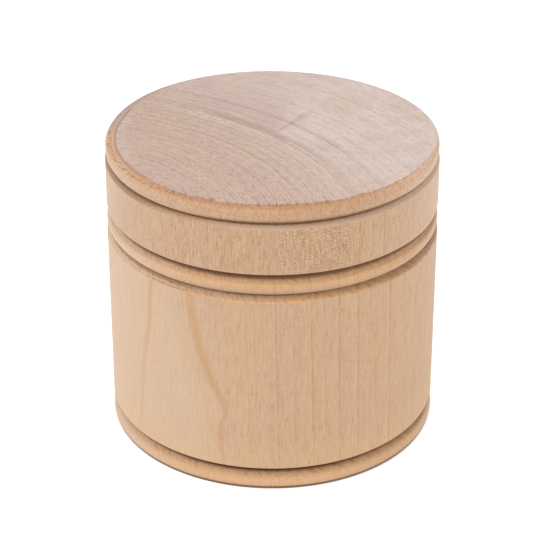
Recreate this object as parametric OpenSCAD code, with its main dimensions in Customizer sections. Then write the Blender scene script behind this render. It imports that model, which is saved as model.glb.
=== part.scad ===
// Round wooden trinket box, turned on a lathe from one log with the grain upright.
// The body is hollow and ends in a spigot; the lid has a recess that slips over the spigot.
// Origin: centre of the resting face, +Z up along the turning axis. Millimetres.

/* [Body] */
// Diameter of the plain wall
body_d = 86; // [78:1:110]
// Height of the shoulder that the lid sits on
body_h = 62.7; // [45:0.1:100]
// Thickness of the wall
wall_t = 9; // [8:0.5:12]
// Thickness of the floor at its rim
floor_t = 9; // [7:0.5:14]
// Radius of the rounding between floor and wall inside
floor_round = 4; // [1:0.5:6]

/* [Foot] */
// Radius of the bead that forms the foot
foot_bead_r = 3.4; // [2.6:0.1:4]
// Height of that bead's middle; the resting face cuts it off below
foot_bead_z = 1.6; // [0.8:0.1:2.4]
// How far the foot bead stands out past the wall
foot_proud = 0.1; // [0:0.1:0.5]
// Width of the broken edge under the foot
foot_edge = 0.5; // [0.2:0.1:1]
// Clear height of the groove between foot bead and wall
foot_groove_h = 1.4; // [0.8:0.1:3]
// Radius of the hollow under the base
dish_r = 33; // [20:1:34]
// Depth of the hollow under the base, at its middle
dish_h = 0.8; // [0.4:0.1:1.5]

/* [Bead below the lid] */
// Radius of the bead
bead_r = 2; // [1.4:0.1:2.6]
// How far the bead stands back from the wall
bead_back = 0.1; // [0:0.1:0.5]
// Clear height of the groove between bead and lid
seam_groove_h = 2.2; // [1:0.1:3]
// Angle round the bead at which its straight upper flank begins, in degrees from level
flank_start = 58; // [40:1:70]
// Height of the groove's upright bottom between that flank and the lid
flank_drop = 0.7; // [0.3:0.1:1]
// Depth of the body's turned grooves, from the wall
groove_depth = 2.4; // [1.8:0.1:2.8]
// Drop of the sloping shoulder from the groove below the bead to the wall
shoulder_drop = 1.3; // [0.6:0.1:2.5]
// Width of the broken edge at the top of the wall
wall_edge = 0.4; // [0.1:0.1:0.8]

/* [Lid] */
// Height of the lid at its middle, from its seat to the flat top
lid_h = 17.25; // [16:0.05:24]
// How far the lid's band stands back from the body's wall
band_back = 0.15; // [0:0.05:0.5]
// Height of the lid's band up to the groove
band_h = 12.2; // [9:0.1:13]
// Depth of the groove between band and disc, from the band
lid_groove_depth = 1.6; // [0.8:0.1:2]
// Height from the band's edge up to the bottom of that groove
lid_groove_h = 1.25; // [0.8:0.05:1.6]
// How far the disc stands back from the body's wall
disc_back = 0.35; // [0:0.05:0.6]
// Height of the disc's upright side between its lower and its upper round
disc_side = 1.2; // [0.4:0.1:2]
// Radius of the disc's upper round
disc_round = 1.1; // [0.5:0.1:2]
// Width of the disc's crown between its upper round and the step up to the flat top
disc_step = 1.15; // [0.3:0.05:2.5]
// Tilt of the hand-flattened top, in degrees
top_tilt = 1.25; // [0:0.05:2]
// Direction in which the flat top falls, in degrees from +X
top_fall = 73; // [0:1:360]

/* [Fit of the lid] */
// Height of the spigot above its shoulder
spigot_h = 6; // [4:0.5:7]
// Thickness of the spigot's wall
spigot_t = 3; // [2:0.5:4]
// Gap all round between spigot and recess
lid_gap = 0.3; // [0.1:0.05:0.5]
// Gap between the top of the spigot and the recess
recess_gap = 3; // [2.5:0.1:4]
// Radius of the rounding at the top of the recess
recess_round = 2; // [0.5:0.1:2.2]
// Width of the bevels that lead the lid on
lead_in = 0.5; // [0.2:0.1:0.8]

/* [Hidden] */
// Colours of the body and the lid
wood = [0.83, 0.68, 0.51];
lid_wood = [0.85, 0.71, 0.56];
// Facets round the turning axis and round a bead
turned = 180;
bead_turned = 64;
// How far a cutting body reaches past what it cuts
cut = 10;
// How far the lid's blank stands above its highest corner
blank_spare = 1;

// Radii of the turned profile
wall_r = body_d / 2;
groove_r = wall_r - groove_depth;
cavity_r = wall_r - wall_t;
spigot_r = cavity_r + spigot_t;
recess_r = spigot_r + lid_gap;
band_r = wall_r - band_back;
lid_groove_r = band_r - lid_groove_depth;
foot_centre_r = wall_r + foot_proud - foot_bead_r;
foot_rest_r = foot_centre_r + sqrt(pow(foot_bead_r, 2) - pow(foot_bead_z, 2));
bead_centre_r = wall_r - bead_back - bead_r;
flank_r = bead_centre_r + bead_r * cos(flank_start);
disc_r = wall_r - disc_back;
disc_centre_r = disc_r - disc_round;
step_r = disc_centre_r - disc_step;
// The lower round of the disc runs into the bottom of the groove
disc_under = disc_r - lid_groove_r;

// Heights of the turned profile, from the resting face
foot_h = foot_bead_z + foot_bead_r;
wall_z = foot_h + foot_groove_h;
bead_z = body_h - seam_groove_h - bead_r;
flank_z = bead_z + bead_r * sin(flank_start);
flank_top_z = body_h - flank_drop;
bead_low_z = bead_z - bead_r;
wall_top_z = bead_low_z - shoulder_drop;
spigot_top_z = body_h + spigot_h;
ceiling_z = spigot_top_z + recess_gap;
band_top_z = body_h + band_h;
lid_groove_z = band_top_z + lid_groove_h;
disc_low_z = lid_groove_z + disc_under;
disc_high_z = disc_low_z + disc_side;
top_z = body_h + lid_h;
blank_z = top_z + wall_r * tan(top_tilt) + blank_spare;

// Half of a round bead, seen in the turning plane
module bead_section(centre_r, centre_z, radius) {
    translate([centre_r, centre_z])
        circle(r = radius, $fn = bead_turned);
}

// Room inside a hollow, from z0 to z1, with its corner at z1 rounded off
module hollow_section(radius, z0, z1, corner) {
    up = sign(z1 - z0);
    translate([0, min(z0, z1 - up * corner)])
        square([radius, abs(z1 - z0) - corner]);
    translate([0, min(z0, z1)])
        square([radius - corner, abs(z1 - z0)]);
    bead_section(radius - corner, z1 - up * corner, corner);
}

// Foot bead, cut off by the resting face and by the bevel of its lower edge
module foot_section() {
    bevel_r = foot_rest_r - foot_edge;
    intersection() {
        bead_section(foot_centre_r, foot_bead_z, foot_bead_r);
        polygon([
            [0, 0],
            [bevel_r, 0],
            [bevel_r + foot_h, foot_h],
            [0, foot_h]
        ]);
    }
}

// Outline of the body with its foot, beads, grooves and spigot
module body_outline() {
    square([groove_r, body_h]);
    foot_section();
    polygon([
        [0, wall_z],
        [wall_r, wall_z],
        [wall_r, wall_top_z - wall_edge],
        [wall_r - wall_edge, wall_top_z],
        [groove_r, bead_low_z],
        [0, bead_low_z]
    ]);
    bead_section(bead_centre_r, bead_z, bead_r);
    polygon([
        [0, bead_z],
        [bead_centre_r, bead_z],
        [flank_r, flank_z],
        [groove_r, flank_top_z],
        [0, flank_top_z]
    ]);
    polygon([
        [0, body_h],
        [spigot_r, body_h],
        [spigot_r, spigot_top_z - lead_in],
        [spigot_r - lead_in, spigot_top_z],
        [0, spigot_top_z]
    ]);
}

// Shallow hollow that leaves the base standing on its rim
module dish_section() {
    polygon([
        [0, -cut],
        [dish_r, -cut],
        [dish_r, 0],
        [0, dish_h]
    ]);
}

// Disc with an upright side, a round below it and a tighter round above it
module disc_section() {
    intersection() {
        bead_section(lid_groove_r, disc_low_z, disc_under);
        translate([0, disc_low_z - cut])
            square([body_d, cut]);
    }
    translate([0, disc_low_z])
        square([disc_r, disc_side]);
    intersection() {
        bead_section(disc_centre_r, disc_high_z, disc_round);
        translate([0, disc_high_z])
            square([body_d, cut]);
    }
    translate([0, disc_high_z])
        square([disc_centre_r, disc_round]);
}

// Outline of the lid's blank: band, groove, disc and the step up to its flat top
module lid_outline() {
    polygon([
        [0, body_h],
        [band_r, body_h],
        [band_r, band_top_z],
        [lid_groove_r, lid_groove_z],
        [lid_groove_r, disc_low_z],
        [0, disc_low_z]
    ]);
    disc_section();
    translate([0, disc_high_z])
        square([step_r, blank_z - disc_high_z]);
}

// Bevel inside the lid's mouth
module mouth_section() {
    polygon([
        [0, body_h],
        [recess_r + lead_in, body_h],
        [recess_r, body_h + lead_in],
        [0, body_h + lead_in]
    ]);
}

// Everything above the flat top, which is tilted a little by hand
module above_top() {
    translate([0, 0, top_z])
        rotate([0, 0, top_fall])
            rotate([0, top_tilt, 0])
                translate([-body_d, -body_d, 0])
                    cube([2 * body_d, 2 * body_d, cut]);
}

module box_body() {
    color(wood)
        rotate_extrude($fn = turned)
            difference() {
                body_outline();
                hollow_section(cavity_r, spigot_top_z + cut, floor_t, floor_round);
                dish_section();
            }
}

module lid() {
    color(lid_wood)
        difference() {
            rotate_extrude($fn = turned)
                difference() {
                    lid_outline();
                    hollow_section(recess_r, body_h - cut, ceiling_z, recess_round);
                    mouth_section();
                }
            above_top();
        }
}

box_body();
lid();
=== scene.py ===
"""Looks of the turned wooden trinket box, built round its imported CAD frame.

Metres, +Z up along the turning axis. Outlines and patterns are written in millimetres.
Azimuths are degrees from -Y, the side that the camera sees, and grow towards +X.
"""

import math
from collections import namedtuple

import bpy
import numpy as np
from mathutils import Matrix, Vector


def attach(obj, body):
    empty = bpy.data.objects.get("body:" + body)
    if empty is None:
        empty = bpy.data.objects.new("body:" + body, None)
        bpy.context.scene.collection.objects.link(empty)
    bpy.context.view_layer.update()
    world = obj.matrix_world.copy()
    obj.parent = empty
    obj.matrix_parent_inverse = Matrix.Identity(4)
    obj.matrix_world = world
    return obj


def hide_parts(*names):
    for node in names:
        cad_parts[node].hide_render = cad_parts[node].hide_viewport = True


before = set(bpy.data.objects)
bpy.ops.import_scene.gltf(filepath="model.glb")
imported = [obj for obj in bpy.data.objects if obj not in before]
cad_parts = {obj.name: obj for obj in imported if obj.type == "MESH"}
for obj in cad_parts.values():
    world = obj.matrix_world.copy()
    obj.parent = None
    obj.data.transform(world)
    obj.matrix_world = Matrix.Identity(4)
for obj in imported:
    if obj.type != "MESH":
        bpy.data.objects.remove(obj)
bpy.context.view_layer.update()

MM = 0.001

# Radii of the turned outline
WALL_R = 43.0
GROOVE_R = 40.6
CAVITY_R = 34.0
SPIGOT_R = 37.0
RECESS_R = 37.3
BAND_R = 42.85
LID_GROOVE_R = 41.25
# Radius of the small step from the disc's crown up to the flat top
STEP_R = 40.4
DISH_R = 33.0

# Heights of the turned outline
DISH_TOP = 0.8
FLOOR_TOP = 9.0
WALL_LOW = 6.4
WALL_EDGE = 0.4
WALL_HIGH = 55.2
SHOULDER_HIGH = 56.5
SEAM_Z = 62.7
SPIGOT_HIGH = 68.7
CEILING_Z = 71.7
BAND_HIGH = 74.9
LID_GROOVE_Z = 76.15
DISC_LOW = 77.55
DISC_HIGH = 78.75
TOP_Z = 79.93

# Round forms: (radius of the middle, height of the middle), own radius
FOOT_MIDDLE, FOOT_ROUND = (39.69, 1.6), 3.4
BEAD_MIDDLE, BEAD_ROUND = (40.9, 58.5), 2.0
UNDER_MIDDLE, UNDER_ROUND = (LID_GROOVE_R, DISC_LOW), 1.4
DISC_MIDDLE, DISC_ROUND = (41.55, DISC_HIGH), 1.1
# The upper flank of the bead leaves its arc at this angle, up to this height
BEAD_FLANK = 58.0
FLANK_HIGH = 62.0
# Rounding of the foot's lower edge
FOOT_EDGE = 0.7
FLOOR_ROUND = 4.0
RECESS_ROUND = 2.0
LEAD_IN = 0.5

# The hand-flattened top leans, and falls towards this angle from +X
TOP_LEAN = math.radians(1.25)
TOP_FALL = math.radians(73.0)

# Mesh: columns round the axis, reach of the sanding, spacing at which an outline is
# sampled, how closely its rows follow it and how far apart they may lie
COLUMNS = 720
SANDED = 0.12
SAMPLING = 0.04
CLOSENESS = 0.003
LONGEST_STEP = 3.0
# Rows of the lid's rim and of its flat top, distances of the rows beside the crease
# between them, and how far below the rim's belly the rows of the lower part end
RIM_ROWS = 30
TOP_ROWS = 16
NEAR_EDGE = np.array([0.05, 0.12, 0.20, 0.30, 0.42, 0.60, 0.85])
BELLY_ROOM = 0.2
# How far the crease reaches inwards and outwards, and the frayed wood both ways
CREASE_IN, CREASE_OUT, FRAYED_REACH = 0.15, 0.24, 0.50
# The step stands this far above the flat top before it is cut off
STEP_SPARE = 3.0
# Points of a line that lie closer than this count as one
SAME_POINT, SAME_PLACE = 0.01, 1e-4

# Fibres torn off the edge of the flat top: depth on the whole, waves (depth, count
# round the axis), and single bites with their widths in columns and their depths
SEED = 11
TORN_OFF = 0.10
TORN_WAVES = ((0.04, 90), (0.05, 300))
BITES, BITE_WIDTH, BITE_DEPTH = 34, (0.8, 2.2), (0.08, 0.30)
# Share of them by the size of the azimuth, and of their depth that goes inwards
TORN_OFF_TURN, TORN_OFF_SHARE = (75.0, 105.0), (1.0, 0.4)
TORN_INWARDS = 0.7
# Roughness of that edge: waves, and their share by the size of the azimuth
ROUGH_WAVES = ((0.13, 220), (0.09, 420))
ROUGH_TURN, ROUGH_SHARE = (60.0, 90.0), (1.0, 0.2)
# How far that edge wanders from a circle: (azimuth, millimetres)
EDGE_WANDER = (
    (-150, 1.10), (-136, 0.95), (-126, 0.50), (-117, 0.10), (-109, -0.35), (-102, -0.55),
    (-94, -0.48), (-80, -0.28), (-72, -0.10), (-50, -0.30), (-34, 0.25), (-15, 0.20),
    (5, -0.15), (20, 0.20), (32, 0.05), (44, 0.45), (62, 0.42), (69, 0.62), (77, 0.90),
    (90, 1.05), (150, 1.10),
)


def arc(middle, radius, start, end, steps=48):
    """Points on an arc about middle, from start to end degrees."""
    turn = np.radians(np.linspace(start, end, steps))
    return [
        (middle[0] + radius * math.cos(a), middle[1] + radius * math.sin(a))
        for a in turn
    ]


def body_outline():
    """Outline of the body from the middle of the base to the middle of the floor."""
    foot_low = -math.degrees(math.asin((FOOT_MIDDLE[1] - FOOT_EDGE) / FOOT_ROUND))
    foot_high = math.degrees(math.acos((GROOVE_R - FOOT_MIDDLE[0]) / FOOT_ROUND))
    foot_r = FOOT_MIDDLE[0] + FOOT_ROUND * math.cos(math.radians(foot_low))
    foot_edge_middle = (foot_r - FOOT_EDGE, FOOT_EDGE)
    bead_low = -math.degrees(math.acos((GROOVE_R - BEAD_MIDDLE[0]) / BEAD_ROUND))
    floor_middle = (CAVITY_R - FLOOR_ROUND, FLOOR_TOP + FLOOR_ROUND)
    return (
        [(0.0, DISH_TOP), (DISH_R, 0.0)]
        + arc(foot_edge_middle, FOOT_EDGE, -90, foot_low, steps=10)
        + arc(FOOT_MIDDLE, FOOT_ROUND, foot_low, foot_high)
        + [
            (GROOVE_R, WALL_LOW),
            (WALL_R, WALL_LOW),
            (WALL_R, WALL_HIGH - WALL_EDGE),
            (WALL_R - WALL_EDGE, WALL_HIGH),
            (GROOVE_R, SHOULDER_HIGH),
        ]
        + arc(BEAD_MIDDLE, BEAD_ROUND, bead_low, BEAD_FLANK)
        + [
            (GROOVE_R, FLANK_HIGH),
            (GROOVE_R, SEAM_Z),
            (SPIGOT_R, SEAM_Z),
            (SPIGOT_R, SPIGOT_HIGH - LEAD_IN),
            (SPIGOT_R - LEAD_IN, SPIGOT_HIGH),
            (CAVITY_R, SPIGOT_HIGH),
        ]
        + arc(floor_middle, FLOOR_ROUND, 0, -90, steps=16)
        + [(0.0, FLOOR_TOP)]
    )


def lid_outline():
    """Outline of the lid from the middle of its ceiling to the crown of its disc."""
    recess_middle = (RECESS_R - RECESS_ROUND, CEILING_Z - RECESS_ROUND)
    return (
        [(0.0, CEILING_Z)]
        + arc(recess_middle, RECESS_ROUND, 90, 0, steps=12)
        + [
            (RECESS_R, SEAM_Z + LEAD_IN),
            (RECESS_R + LEAD_IN, SEAM_Z),
            (BAND_R, SEAM_Z),
            (BAND_R, BAND_HIGH),
            (LID_GROOVE_R, LID_GROOVE_Z),
        ]
        + arc(UNDER_MIDDLE, UNDER_ROUND, -90, 0, steps=24)[1:]
        + arc(DISC_MIDDLE, DISC_ROUND, 0, 90)
    )


def lengths_along(points):
    """Length from the first point to each point of a line."""
    steps = np.linalg.norm(np.diff(points, axis=0), axis=1)
    return np.concatenate([[0.0], np.cumsum(steps)])


def sanded(points, stations):
    """A line's places at the given lengths, with its corners rubbed round."""
    run = lengths_along(points)
    offsets = np.linspace(-2.0, 2.0, 9)
    weights = np.exp(-0.5 * offsets**2)
    weights /= weights.sum()
    room = np.minimum(stations, run[-1] - stations)
    spread = np.minimum(SANDED, room / 2.0)
    places = stations[:, None] + offsets[None, :] * spread[:, None]
    return np.stack(
        [(np.interp(places, run, points[:, k]) * weights).sum(axis=1) for k in (0, 1)],
        axis=1,
    )


def thinned(points):
    """Indices of the points that follow a line closely enough."""
    kept = {0, len(points) - 1}
    stack = [(0, len(points) - 1)]
    while stack:
        first, last = stack.pop()
        if last - first < 2:
            continue
        chord = points[last] - points[first]
        span = np.linalg.norm(chord)
        inner = points[first + 1 : last] - points[first]
        off = np.abs(inner[:, 0] * chord[1] - inner[:, 1] * chord[0]) / max(span, 1e-9)
        worst = int(off.argmax()) + first + 1
        if off.max() > CLOSENESS or span > LONGEST_STEP:
            if off.max() <= CLOSENESS:
                worst = (first + last) // 2
            kept.add(worst)
            stack += [(first, worst), (worst, last)]
    return np.array(sorted(kept))


def outline_stations(points):
    """Lengths along a line at which a mesh follows its sanded form well."""
    run = lengths_along(points)
    dense = np.linspace(0.0, run[-1], int(run[-1] / SAMPLING))
    return dense[thinned(sanded(points, dense))]


def ring_points(ring, turn):
    """Points of one outline turned to an angle about the axis."""
    radius, height = ring[:, 0], ring[:, 1]
    return np.stack([radius * math.cos(turn), radius * math.sin(turn), height], axis=1)


def column_turns():
    """Angle of each column from +X."""
    return np.linspace(0.0, 2.0 * math.pi, COLUMNS, endpoint=False)


def column_azimuth():
    """Azimuth of each column, between -180 and 180 degrees."""
    front_first = 90.0 + np.arange(COLUMNS) * 360.0 / COLUMNS
    return (front_first + 180.0) % 360.0 - 180.0


def body_columns():
    """Columns of points round the axis for the body."""
    outline = np.array(body_outline())
    ring = sanded(outline, outline_stations(outline))
    return np.array([ring_points(ring, turn) for turn in column_turns()])


def waves(rng, parts):
    """Sum of random waves round the axis, each given by its depth and its count."""
    total = np.zeros(COLUMNS)
    for depth, count in parts:
        values = rng.uniform(-1.0, 1.0, count)
        places = np.arange(COLUMNS) * count / COLUMNS
        total += depth * np.interp(places, np.arange(count + 1), [*values, values[0]])
    return total


def torn_edge(rng):
    """How far fibres are torn off the edge of the flat top, for each column."""
    torn = TORN_OFF + waves(rng, TORN_WAVES)
    column = np.arange(COLUMNS)
    for _ in range(BITES):
        middle = rng.uniform(0, COLUMNS)
        width = rng.uniform(*BITE_WIDTH)
        depth = rng.uniform(*BITE_DEPTH)
        away = np.abs((column - middle + COLUMNS / 2) % COLUMNS - COLUMNS / 2)
        torn += depth * np.exp(-((away / width) ** 2))
    return torn * np.interp(np.abs(column_azimuth()), TORN_OFF_TURN, TORN_OFF_SHARE)


def edge_radius(rng):
    """Radius of the step round the flat top, for each column."""
    azimuth, extra = np.array(EDGE_WANDER).T
    rough_share = np.interp(np.abs(column_azimuth()), ROUGH_TURN, ROUGH_SHARE)
    rough = waves(rng, ROUGH_WAVES) * rough_share
    return STEP_R + np.interp(column_azimuth(), azimuth, extra, period=360.0) + rough


def stepped_rim(rim, step_r):
    """The rim's line from its belly to the step, and up the step."""
    step_z = np.interp(-step_r, -rim[:, 0], rim[:, 1])
    kept = rim[rim[:, 0] > step_r + SAME_POINT]
    return np.concatenate([kept, [(step_r, step_z), (step_r, TOP_Z + STEP_SPARE)]])


def cut_rim(rim, fall):
    """The part of the rim's line below the leaning top, with the point on it."""
    above = rim[:, 1] - (TOP_Z - fall * rim[:, 0])
    first = int(np.argmax(above > 0.0))
    low, high = above[first - 1], above[first]
    share = low / (low - high)
    edge = rim[first - 1] + share * (rim[first] - rim[first - 1])
    return np.concatenate([rim[:first], [edge]])


def worn_line(rim, fall, torn):
    """Line from the rim over its torn edge to the middle of the top, and its crease."""
    cut = cut_rim(rim, fall)
    run = lengths_along(cut)
    below = run[-1] - torn
    worn = [np.interp(below, run, cut[:, k]) for k in (0, 1)]
    inside_r = cut[-1][0] - TORN_INWARDS * torn
    kept = cut[run < below - SAME_PLACE]
    line = np.concatenate(
        [kept, [worn, (inside_r, TOP_Z - fall * inside_r), (0.0, TOP_Z)]]
    )
    along = lengths_along(line)
    return line, 0.5 * (along[len(kept)] + along[len(kept) + 1])


def lid_columns(rng):
    """Columns of points for the lid, and the row of the crease round its top."""
    outline = np.array(lid_outline())
    stations = outline_stations(outline)
    belly = int(np.argmax(outline[:, 0] * (outline[:, 1] > LID_GROOVE_Z)))
    fixed = stations[stations < lengths_along(outline)[belly] - BELLY_ROOM]
    lower = sanded(outline, fixed)
    slope = math.tan(TOP_LEAN)
    torn = torn_edge(rng)
    step_r = edge_radius(rng)
    columns = []
    for column, turn in enumerate(column_turns()):
        fall = slope * math.cos(turn - TOP_FALL)
        rim = stepped_rim(outline[belly:], step_r[column])
        line, crease = worn_line(rim, fall, torn[column])
        end = lengths_along(line)[-1]
        rim_part = np.linspace(0.0, crease - NEAR_EDGE[-1], RIM_ROWS)
        top_part = np.linspace(crease + NEAR_EDGE[-1], end, TOP_ROWS)
        places = np.concatenate(
            [rim_part, crease - NEAR_EDGE[-2::-1], crease + NEAR_EDGE[:-1], top_part]
        )
        ring = np.concatenate([lower, sanded(line, places)])
        columns.append(ring_points(ring, turn))
    crease_row = len(lower) + RIM_ROWS + len(NEAR_EDGE) - 1
    return np.array(columns), crease_row


def shade_normals(columns):
    """Outward normals of the columns, from the run of the points both ways."""
    along = np.gradient(columns, axis=1)
    round_axis = np.roll(columns, -1, axis=0) - np.roll(columns, 1, axis=0)
    normals = np.cross(round_axis, along)
    size = np.linalg.norm(normals, axis=2, keepdims=True)
    return normals / np.maximum(size, 1e-12)


def body_zones(columns):
    """The body has no flat top, so all of its values are nought in every row."""
    rows = columns.shape[1]
    return {name: np.zeros(rows) for name in ("crease", "frayed", "faced")}


def beside_crease(rows, crease_row, inwards, outwards):
    """Values for each row that fall off from the crease over a reach to either side."""
    values = np.zeros(rows)
    count = len(NEAR_EDGE)
    values[crease_row : crease_row + count] = np.exp(-((NEAR_EDGE / inwards) ** 2))
    outer = np.exp(-((NEAR_EDGE / outwards) ** 2))
    values[crease_row - count : crease_row] = outer[::-1]
    return values


def lid_zones(columns, crease_row):
    """Values for each row of the lid: the crease round its flat top, and the top."""
    rows = columns.shape[1]
    return {
        "crease": beside_crease(rows, crease_row, CREASE_IN, CREASE_OUT),
        "frayed": beside_crease(rows, crease_row, FRAYED_REACH, FRAYED_REACH),
        "faced": (np.arange(rows) >= crease_row).astype(float),
    }


def row_attribute(mesh, name, values, count):
    """Stores one value for each row of the outline on the mesh's points."""
    rows = values[1:-1]
    layer = mesh.attributes.new(name, "FLOAT", "POINT")
    layer.data.foreach_set("value", [*np.tile(rows, count), values[0], values[-1]])


def grid_faces(count, rows):
    """Faces between neighbouring columns, closed by a point at either end."""
    first_pole, last_pole = count * rows, count * rows + 1
    faces = []
    for column in range(count):
        here, there = column * rows, (column + 1) % count * rows
        faces.append((first_pole, there, here))
        for row in range(rows - 1):
            faces.append((here + row, there + row, there + row + 1, here + row + 1))
        faces.append((last_pole, here + rows - 1, there + rows - 1))
    return faces


def placed(name, data):
    """New object in the scene."""
    thing = bpy.data.objects.new(name, data)
    bpy.context.scene.collection.objects.link(thing)
    return thing


def turned_piece(name, columns, zones):
    """Mesh object from columns of points whose first and last points lie on the axis."""
    count, rows = columns.shape[0], columns.shape[1] - 2
    inner = columns[:, 1:-1].reshape(-1, 3)
    vertices = np.concatenate([inner, columns[:1, 0], columns[:1, -1]]) * MM
    mesh = bpy.data.meshes.new(name)
    mesh.from_pydata(vertices.tolist(), [], grid_faces(count, rows))
    mesh.polygons.foreach_set("use_smooth", [True] * len(mesh.polygons))
    normals = shade_normals(columns)
    poles = [(0.0, 0.0, np.sign(normals[:, row, 2].mean())) for row in (1, -2)]
    shading = np.concatenate([normals[:, 1:-1].reshape(-1, 3), poles])
    mesh.normals_split_custom_set_from_vertices(shading.tolist())
    for zone, values in zones.items():
        row_attribute(mesh, zone, values, count)
    mesh.update()
    return placed(name, mesh)


def srgb(red, green, blue):
    """Linear colour of an 8-bit screen colour."""
    shares = [v / 255.0 for v in (red, green, blue)]
    linear = [s / 12.92 if s <= 0.04045 else ((s + 0.055) / 1.055) ** 2.4 for s in shares]
    return (*linear, 1.0)


class Nodes:
    """Short hand for building the nodes of one tree."""

    def __init__(self, tree):
        self.tree = tree
        tree.nodes.clear()

    def new(self, kind, **settings):
        node = self.tree.nodes.new(kind)
        for key, value in settings.items():
            setattr(node, key, value)
        return node

    def feed(self, socket, value):
        if isinstance(value, bpy.types.NodeSocket):
            self.tree.links.new(value, socket)
        else:
            socket.default_value = value

    def math(self, operation, *values):
        node = self.new("ShaderNodeMath", operation=operation)
        for socket, value in zip(node.inputs, values):
            self.feed(socket, value)
        return node.outputs[0]

    def add(self, *values):
        total = values[0]
        for value in values[1:]:
            total = self.math("ADD", total, value)
        return total

    def times(self, *values):
        total = values[0]
        for value in values[1:]:
            total = self.math("MULTIPLY", total, value)
        return total

    def less(self, first, second):
        return self.math("SUBTRACT", first, second)

    def size(self, value):
        return self.math("ABSOLUTE", value)

    def length_of(self, x, y):
        return self.math("SQRT", self.add(self.times(x, x), self.times(y, y)))

    def zone(self, value, low, full, last, gone):
        """1 from full to last, falling to 0 at low and gone."""
        return self.times(self.ease(value, low, full), self.ease(value, gone, last))

    def ease(self, value, low, high, out_low=0.0, out_high=1.0):
        """Smooth step of a value between two bounds."""
        node = self.new("ShaderNodeMapRange", interpolation_type="SMOOTHSTEP")
        for socket, given in zip(node.inputs, (value, low, high, out_low, out_high)):
            self.feed(socket, given)
        return node.outputs[0]

    def attribute(self, name):
        node = self.new("ShaderNodeAttribute", attribute_name=name)
        return node.outputs["Fac"]

    def split(self, vector):
        node = self.new("ShaderNodeSeparateXYZ")
        self.feed(node.inputs[0], vector)
        return node.outputs[0], node.outputs[1], node.outputs[2]

    def join(self, x, y, z):
        node = self.new("ShaderNodeCombineXYZ")
        for socket, value in zip(node.inputs, (x, y, z)):
            self.feed(socket, value)
        return node.outputs[0]

    def stretch(self, vector, scale):
        node = self.new("ShaderNodeVectorMath", operation="MULTIPLY")
        self.feed(node.inputs[0], vector)
        node.inputs[1].default_value = scale
        return node.outputs[0]

    def noise(self, vector, scale, detail):
        """Noise between about 0 and 1 with its own scale along each axis."""
        node = self.new("ShaderNodeTexNoise", noise_dimensions="3D")
        self.feed(node.inputs["Vector"], self.stretch(vector, scale))
        node.inputs["Scale"].default_value = 1.0
        node.inputs["Detail"].default_value = detail
        node.inputs["Roughness"].default_value = 0.5
        return node.outputs[0]

    def spots(self, vector, scale, detail, low, high, between=0.0):
        """Noise as soft spots: 1 where it is past high, and between where it is low."""
        return self.ease(self.noise(vector, scale, detail), low, high, between)

    def mix(self, share, first, second):
        """Colour between two colours."""
        node = self.new("ShaderNodeMix", data_type="RGBA")
        self.feed(node.inputs[0], share)
        self.feed(node.inputs[6], first)
        self.feed(node.inputs[7], second)
        return node.outputs[2]

    def coat(self, colour, tone, *fields, share=1.0):
        """Colour with a share of a tone mixed into it, by the product of fields."""
        return self.mix(self.times(*fields, share), colour, tone)

    def lift(self, field, least, more):
        """A least value, and so much more where a field is 1."""
        return self.add(least, self.times(field, more))

    def patch(self, first, second, zones):
        """1 where two values lie in a zone each, with soft borders."""
        return self.times(self.zone(first, *zones[0]), self.zone(second, *zones[1]))

    def path(self, value, span, results, stops):
        """Value of a curve drawn through (value, result) stops."""
        low, high = span
        out_low, out_high = results
        share = self.new("ShaderNodeMapRange")
        for socket, given in zip(share.inputs, (value, low, high, 0.0, 1.0)):
            self.feed(socket, given)
        node = self.new("ShaderNodeFloatCurve")
        curve = node.mapping.curves[0]
        spots = [
            ((at - low) / (high - low), (result - out_low) / (out_high - out_low))
            for at, result in stops
        ]
        curve.points[0].location = spots[0]
        curve.points[1].location = spots[-1]
        for spot in spots[1:-1]:
            curve.points.new(*spot)
        node.mapping.update()
        self.feed(node.inputs["Value"], share.outputs[0])
        return self.add(out_low, self.times(out_high - out_low, node.outputs[0]))

    def seen(self):
        """1 for rays of the camera, of reflections and of glass, 0 for light."""
        rays = self.new("ShaderNodeLightPath").outputs
        mirrored = self.math("MAXIMUM", rays["Is Camera Ray"], rays["Is Glossy Ray"])
        return self.math("MAXIMUM", mirrored, rays["Is Transmission Ray"])


# Looks of one piece: growth lines and the height that they are given for, streak that
# the pale wood follows, colour and share of the pale wood (on the lid's band partly
# painted sheen), looks of the beads, heights of the plain side, painted shade in the
# grooves and on the slopes, and the function of the side's figure
Looks = namedtuple(
    "Looks",
    "name lines lines_z streak pale_tone pale bead plain grooves shades figure",
)
# Looks of turned beads and rims: colours for facing down, out and up, the one for
# facing down greyed as painted floor light; share of pale wood and painted sheen;
# shares of dark specks for facing out and up, and share of upright threads
Bead = namedtuple("Bead", "tones pale specks threads")

# Upright pith of the log that the box was turned from, how far its rings drift with
# height and how far they wander
PITH = (-62.0, -57.0)
RING_DRIFT = 0.023
RING_WANDER = 0.9
# Growth lines: (distance from the pith, strength)
BODY_LINES = (
    (57.8, 0.35), (59.7, 0.30), (64.9, 0.85), (69.2, 0.40), (73.7, 0.85), (77.0, 0.40),
    (80.7, 0.85), (85.8, 0.90), (89.2, 0.45), (90.9, 0.40), (95.3, 1.00), (100.0, 0.45),
    (103.9, 0.50), (109.0, 0.50), (114.0, 0.70), (119.5, 0.60),
)
LID_LINES = (
    (52.0, 0.35), (57.0, 0.30), (61.5, 0.35), (66.0, 0.45), (69.5, 0.35), (72.3, 0.60),
    (75.0, 0.45), (77.6, 0.60), (79.6, 0.50), (83.4, 0.75), (85.1, 1.00), (88.6, 0.30),
    (92.2, 1.00), (97.0, 0.30), (102.0, 0.35), (108.0, 0.30), (114.0, 0.35),
    (120.0, 0.30),
)
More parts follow.
